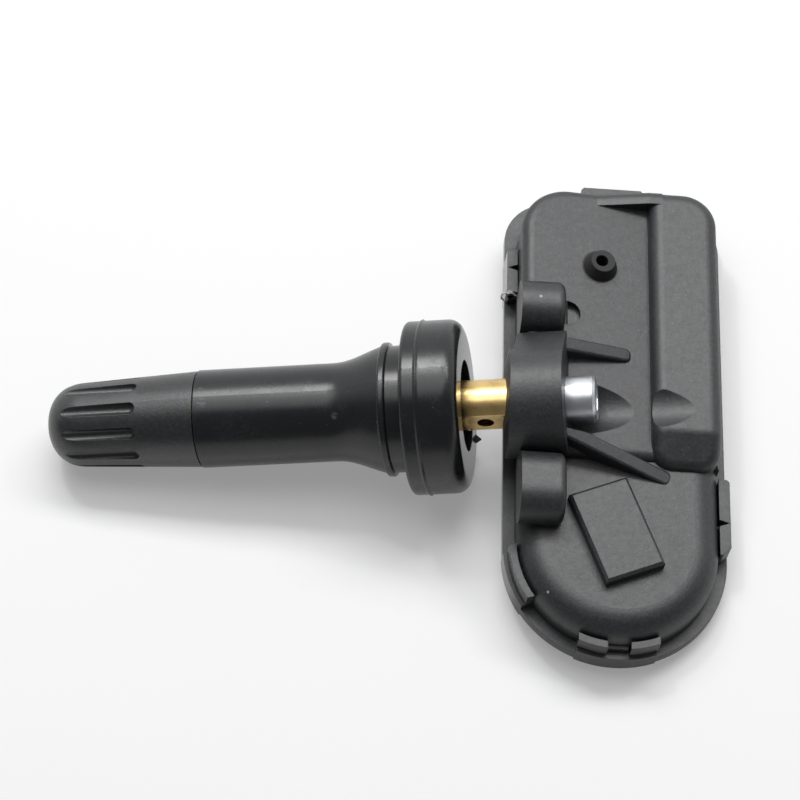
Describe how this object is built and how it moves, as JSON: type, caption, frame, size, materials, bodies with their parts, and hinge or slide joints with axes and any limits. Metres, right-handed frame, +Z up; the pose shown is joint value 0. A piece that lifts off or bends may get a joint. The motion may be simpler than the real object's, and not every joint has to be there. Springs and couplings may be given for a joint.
{
  "type": "tyre pressure sensor",
  "caption": "Tyre pressure sensor with a D-shaped housing screwed to the brass insert of a snap-in rubber valve stem with a fluted cap.",
  "frame": {"origin": "On the stem axis, in the plane of the flange's shoulder that seats on the inside of the rim", "axes": "+X from the cap towards the housing, +Y along the housing towards its square end, +Z up as it lies on a table"},
  "size_m": [0.0752, 0.0561, 0.0194],
  "materials": {
    "housing_plastic": "fine moulded grain",
    "cover_plastic": "fine moulded grain",
    "zinc_steel": "zinc plated",
    "brass": "turned and milled",
    "stem_rubber": "satin",
    "cap_plastic": "satin",
    "board_laminate": "solder mask",
    "cell_steel": "nickel plated",
    "chip_resin": "moulded resin",
    "seal_rubber": "matt",
    "ferrite": "fired",
    "copper": "enamelled wire",
    "capacitor_ceramic": "fired",
    "spring_steel": "drawn wire"
  },
  "bodies": {
    "sensor": {"housing": "housing_plastic", "cover": "cover_plastic", "mounting_screw": "zinc_steel", "brass_stem": "brass", "rubber_stem": "stem_rubber", "circuit_board": "board_laminate", "battery": "cell_steel", "battery_tab_top": "cell_steel", "battery_tab_bottom": "cell_steel", "pressure_sensor": "chip_resin", "vent_seal": "seal_rubber", "coil_core": "ferrite", "coil_winding": "copper", "antenna": "copper", "crystal": "cell_steel", "capacitors": "capacitor_ceramic", "core_plug": "brass", "core_barrel": "brass", "core_ring": "seal_rubber", "core_spring": "spring_steel"},
    "cap": {"valve_cap": "cap_plastic", "cap_seal": "seal_rubber"},
    "pin": {"core_pin": "brass", "core_cup": "brass", "core_seat": "seal_rubber"}
  },
  "joints": [
    {"name": "cap_slide", "type": "slide", "parent": "sensor", "child": "cap", "axis": [-0.9928, 0, -0.1201], "range_m": [0, 0.016]},
    {"name": "core_pin_slide", "type": "slide", "parent": "sensor", "child": "pin", "axis": [0.9928, 0, 0.1201], "range_m": [0, 0.0012], "stiffness_N_per_m": 200, "springref_m": -0.001, "deforming": ["core_spring"]}
  ]
}
